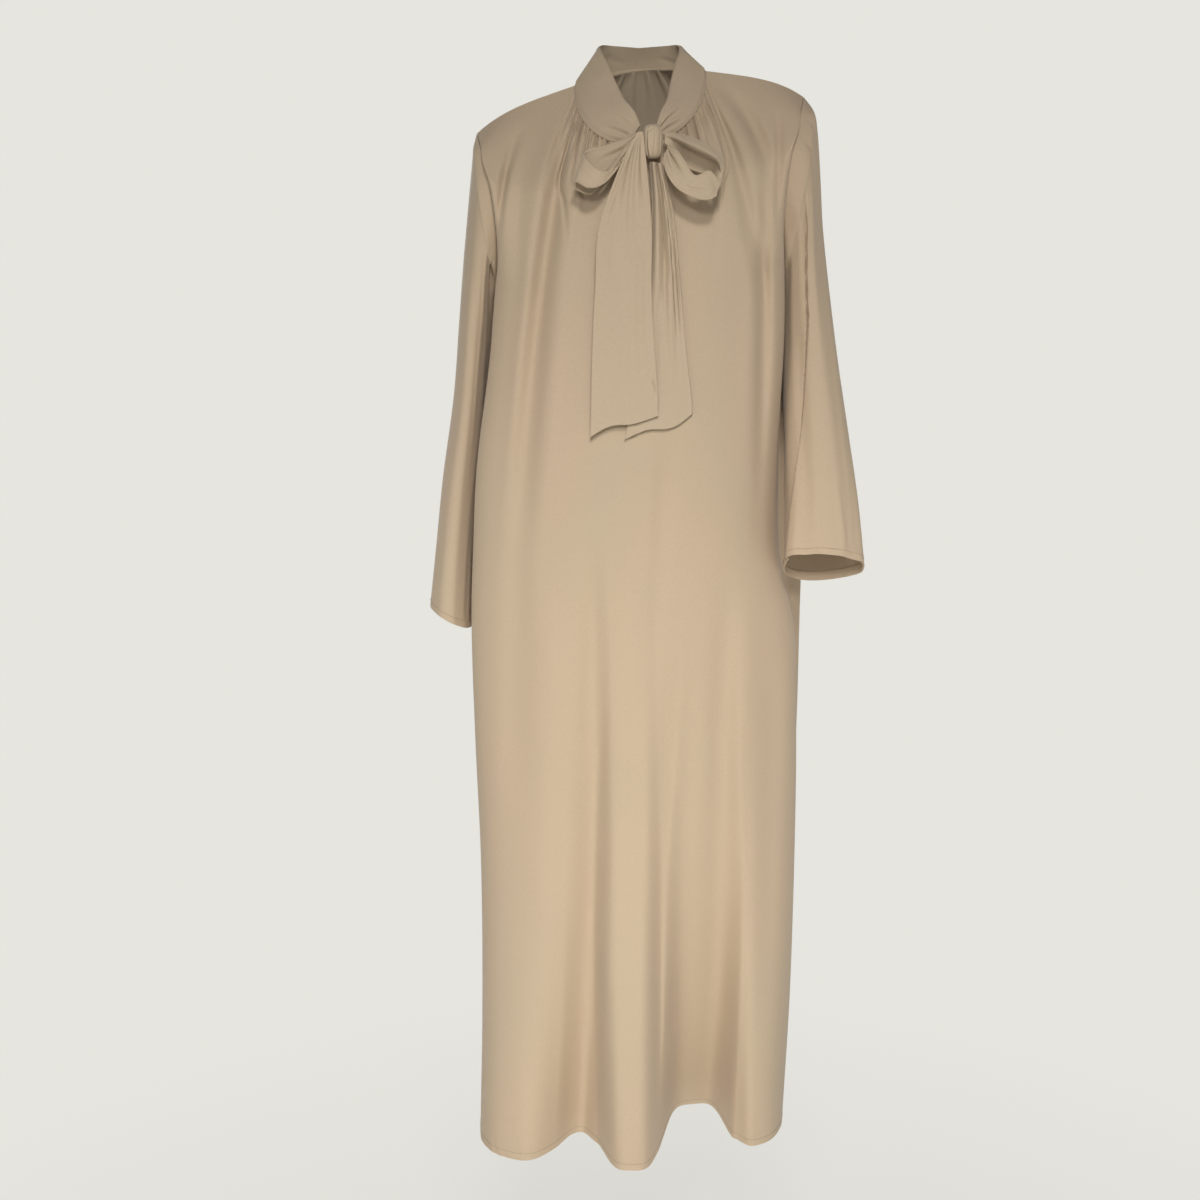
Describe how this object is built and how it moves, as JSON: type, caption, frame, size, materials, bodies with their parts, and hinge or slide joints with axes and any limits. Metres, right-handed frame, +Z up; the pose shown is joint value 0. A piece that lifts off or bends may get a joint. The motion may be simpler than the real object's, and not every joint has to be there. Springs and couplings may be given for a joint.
{
  "type": "abaya",
  "caption": "Floor-length, long-sleeved abaya with a gathered neck, a stand band and a tied bow, held open as it hangs when worn.",
  "frame": {"origin": "middle of the neck opening, at the height of the neck ends of the shoulder seams, where the wearer's neck and shoulders hold the garment", "axes": "+Z up, -Y the front, +X the wearer's left"},
  "size_m": [0.559, 0.3379, 1.4359],
  "materials": {
    "crepe": "matte taupe crepe with a fine grain"
  },
  "bodies": {
    "root": {"front_body": "crepe", "back_body": "crepe", "sleeve_right": "crepe", "sleeve_left": "crepe", "neck_band": "crepe", "knot": "crepe", "loop_right": "crepe", "loop_left": "crepe", "tail_right": "crepe", "tail_left": "crepe"}
  },
  "joints": []
}
